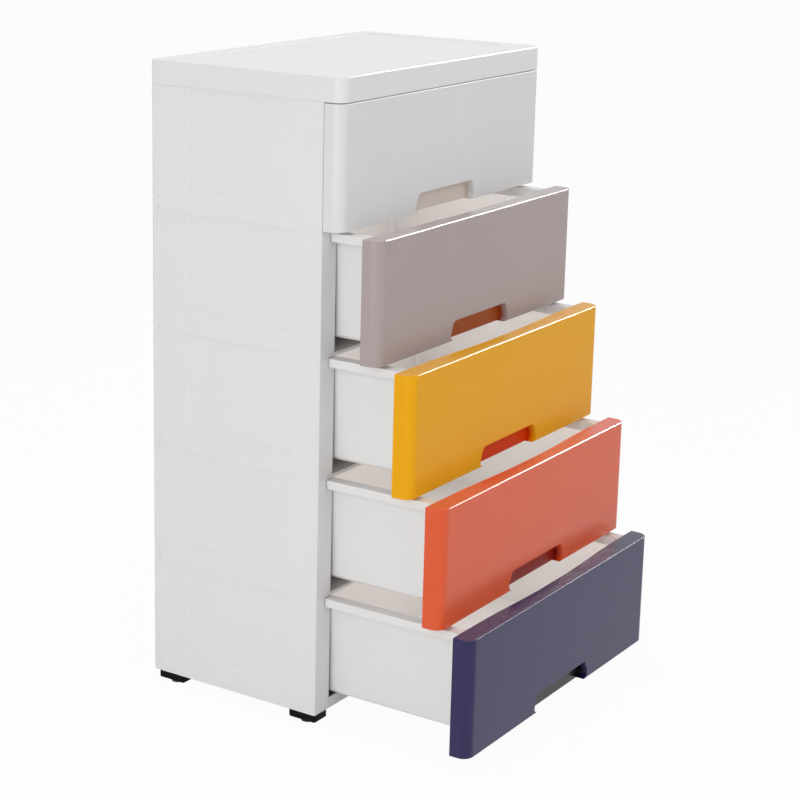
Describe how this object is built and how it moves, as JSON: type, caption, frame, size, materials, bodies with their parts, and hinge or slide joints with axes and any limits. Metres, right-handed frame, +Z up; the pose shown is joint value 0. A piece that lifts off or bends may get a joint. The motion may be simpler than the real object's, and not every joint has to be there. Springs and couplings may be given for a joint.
{
  "type": "drawer tower",
  "caption": "Free-standing moulded plastic drawer tower with stacked tiers, a flat lid, sliding drawers with notched finger pulls and short block feet.",
  "frame": {"origin": "on the floor, in the middle of the space that the tower takes with its drawers as shown", "axes": "+X to the right seen from the front, +Y to the back, +Z up; the drawers slide out along -Y"},
  "size_m": [0.45, 0.455, 0.773],
  "materials": {
    "white_plastic": "satin moulded",
    "drawer_plastic": "satin moulded",
    "front_white": "satin moulded",
    "front_mauve": "satin moulded",
    "front_yellow": "satin moulded",
    "front_coral": "satin moulded",
    "front_navy": "satin moulded",
    "black_plastic": "fine matt",
    "black_rubber": "matt"
  },
  "bodies": {
    "cabinet": {"lid": "white_plastic", "side_left_1": "white_plastic", "side_right_1": "white_plastic", "back_panel_1": "white_plastic", "side_left_2": "white_plastic", "side_right_2": "white_plastic", "back_panel_2": "white_plastic", "side_left_3": "white_plastic", "side_right_3": "white_plastic", "back_panel_3": "white_plastic", "side_left_4": "white_plastic", "side_right_4": "white_plastic", "back_panel_4": "white_plastic", "side_left_5": "white_plastic", "side_right_5": "white_plastic", "back_panel_5": "white_plastic", "divider_1": "white_plastic", "divider_2": "white_plastic", "divider_3": "white_plastic", "divider_4": "white_plastic", "base_frame": "white_plastic", "foot_front_left": "black_plastic", "foot_pad_front_left": "black_rubber", "foot_front_right": "black_plastic", "foot_pad_front_right": "black_rubber", "foot_rear_left": "black_plastic", "foot_pad_rear_left": "black_rubber", "foot_rear_right": "black_plastic", "foot_pad_rear_right": "black_rubber"},
    "drawer_1": {"drawer_box_1": "drawer_plastic", "drawer_front_1": "front_white"},
    "drawer_2": {"drawer_box_2": "drawer_plastic", "drawer_front_2": "front_mauve"},
    "drawer_3": {"drawer_box_3": "drawer_plastic", "drawer_front_3": "front_yellow"},
    "drawer_4": {"drawer_box_4": "drawer_plastic", "drawer_front_4": "front_coral"},
    "drawer_5": {"drawer_box_5": "drawer_plastic", "drawer_front_5": "front_navy"}
  },
  "joints": [
    {"name": "drawer_1_slide", "type": "slide", "parent": "cabinet", "child": "drawer_1", "axis": [0, -1, 0], "range_m": [0, 0.2]},
    {"name": "drawer_2_slide", "type": "slide", "parent": "cabinet", "child": "drawer_2", "axis": [0, -1, 0], "range_m": [-0.053, 0.147]},
    {"name": "drawer_3_slide", "type": "slide", "parent": "cabinet", "child": "drawer_3", "axis": [0, -1, 0], "range_m": [-0.099, 0.101]},
    {"name": "drawer_4_slide", "type": "slide", "parent": "cabinet", "child": "drawer_4", "axis": [0, -1, 0], "range_m": [-0.144, 0.056]},
    {"name": "drawer_5_slide", "type": "slide", "parent": "cabinet", "child": "drawer_5", "axis": [0, -1, 0], "range_m": [-0.185, 0.015]}
  ]
}
